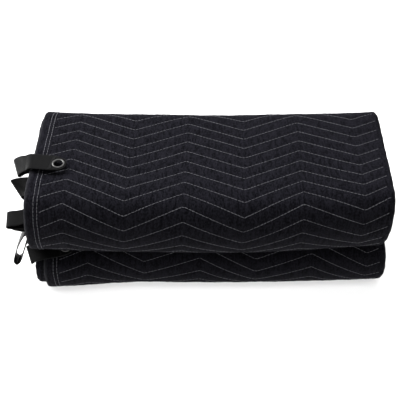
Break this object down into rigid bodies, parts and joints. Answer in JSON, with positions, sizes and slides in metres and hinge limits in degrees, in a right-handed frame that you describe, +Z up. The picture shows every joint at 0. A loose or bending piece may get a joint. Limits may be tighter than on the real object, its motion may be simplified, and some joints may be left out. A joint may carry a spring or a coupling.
{
  "type": "sound dampening blanket",
  "caption": "Thick quilted sound blanket folded into a compact bundle, with zigzag stitching, a stitched hem and webbing tabs with metal eyelets for hanging.",
  "frame": {"origin": "middle of the bounding box, at the height of the surface that the bundle rests on", "axes": "+Z up; -Y towards the round folded nose at the front; -X towards the hem that carries the webbing tabs"},
  "size_m": [0.7308, 0.3196, 0.2429],
  "materials": {
    "quilted_cloth": "matt woven face with raised quilting",
    "webbing": "satin flat weave",
    "eyelet_metal": "satin plated"
  },
  "bodies": {
    "root": {"blanket": "quilted_cloth", "tab_1": "webbing", "eyelet_1": "eyelet_metal", "tab_2": "webbing", "eyelet_2": "eyelet_metal", "tab_3": "webbing", "eyelet_3": "eyelet_metal", "tab_4": "webbing", "eyelet_4": "eyelet_metal", "tab_5": "webbing", "eyelet_5": "eyelet_metal"}
  },
  "joints": []
}
